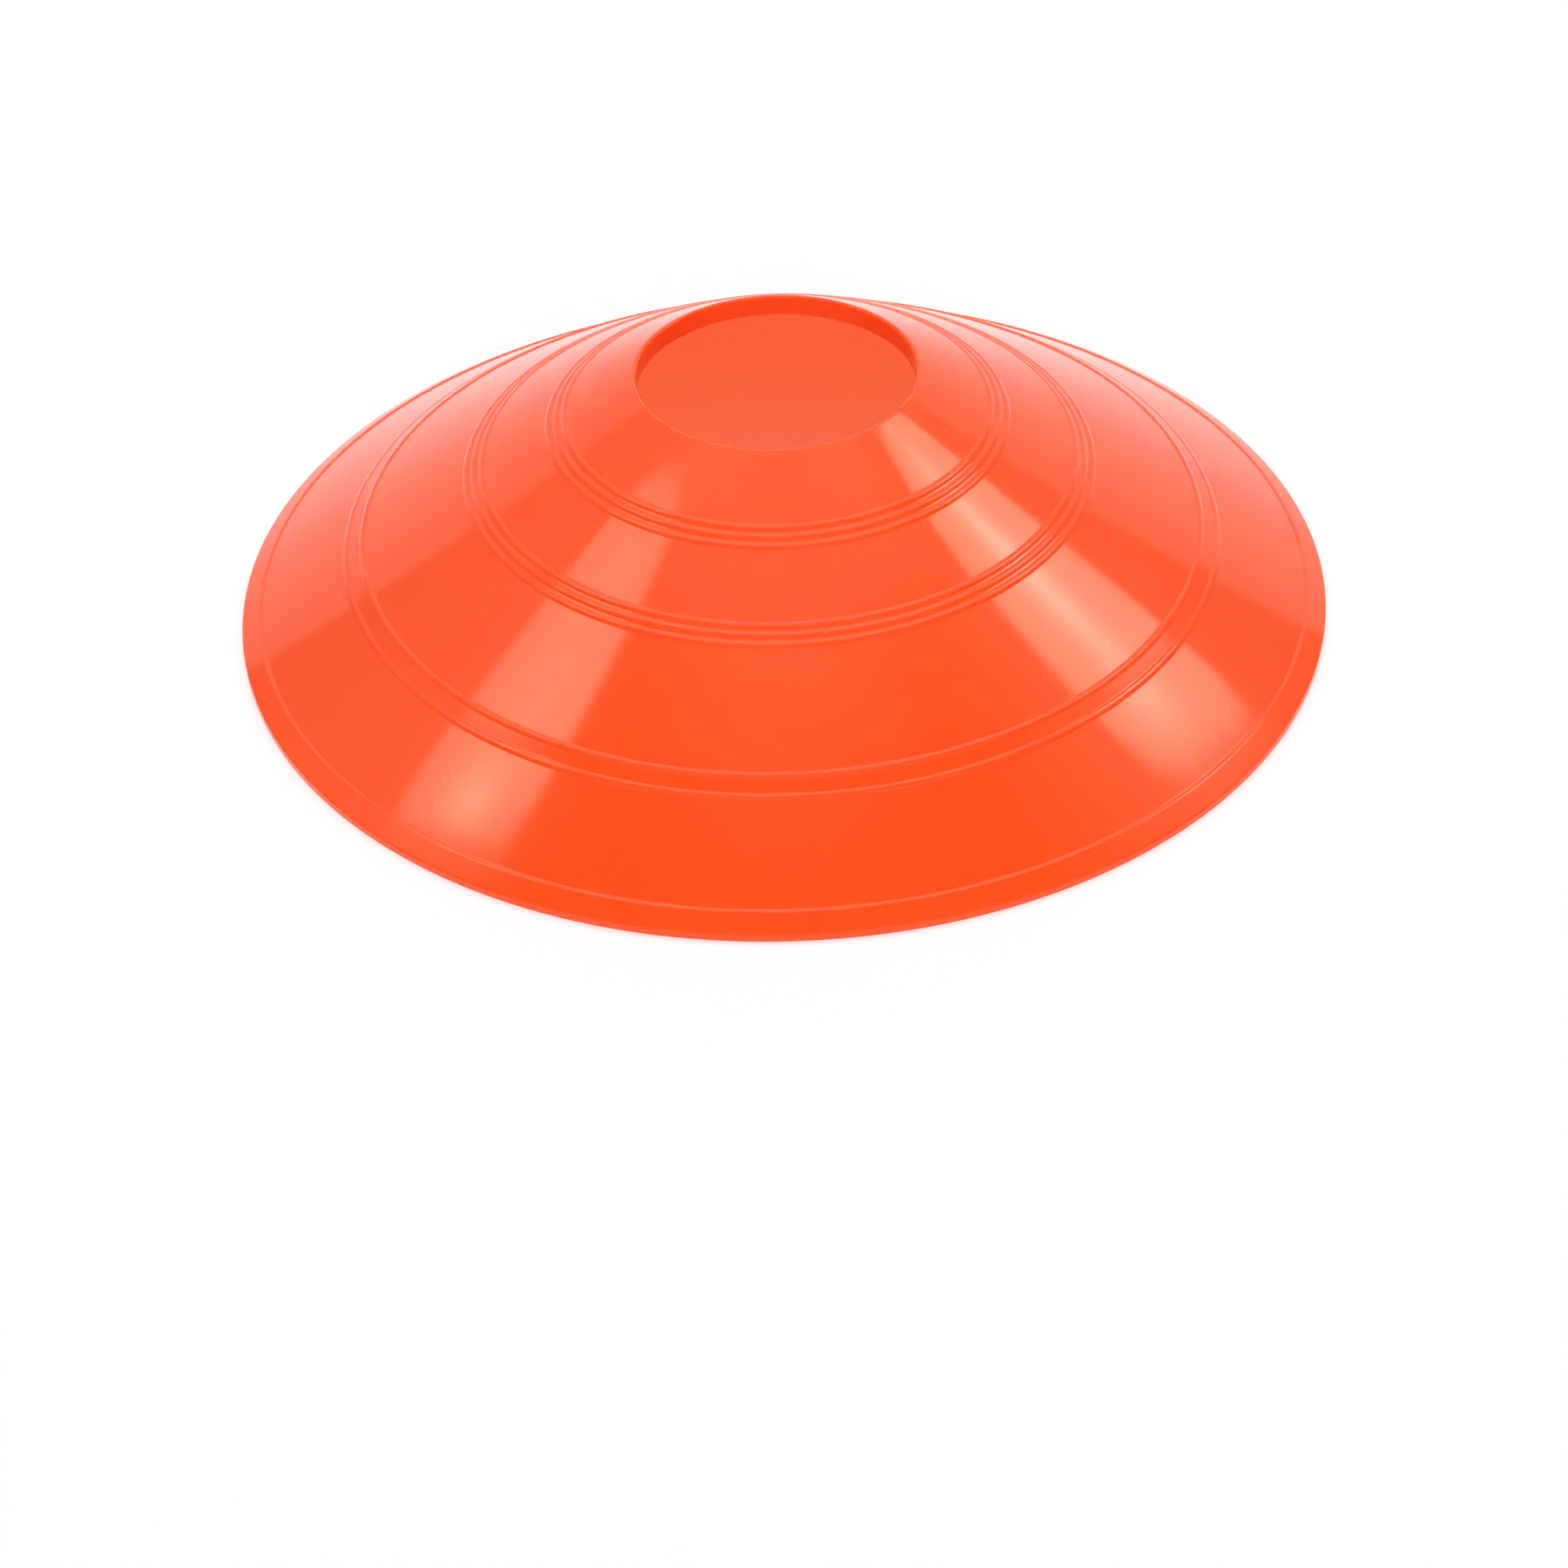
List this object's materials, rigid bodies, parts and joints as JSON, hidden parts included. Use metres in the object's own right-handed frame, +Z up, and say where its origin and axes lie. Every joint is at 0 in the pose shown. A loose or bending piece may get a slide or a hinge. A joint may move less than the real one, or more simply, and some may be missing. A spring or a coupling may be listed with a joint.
{
  "type": "sports marker cone",
  "caption": "Low disc-shaped sports marker cone: thin conical shell with a round top hole, turned-down collar, raised rings and a thicker rim.",
  "frame": {"origin": "centre of the ground seat, on the axis of the cone", "axes": "+Z up along the cone's axis, through the hole; X and Y are equal by symmetry"},
  "size_m": [0.2, 0.2, 0.048],
  "materials": {
    "cone_plastic": "soft-gloss moulded polyethylene, fluorescent orange, slightly translucent"
  },
  "bodies": {
    "root": {"marker_cone": "cone_plastic"}
  },
  "joints": []
}
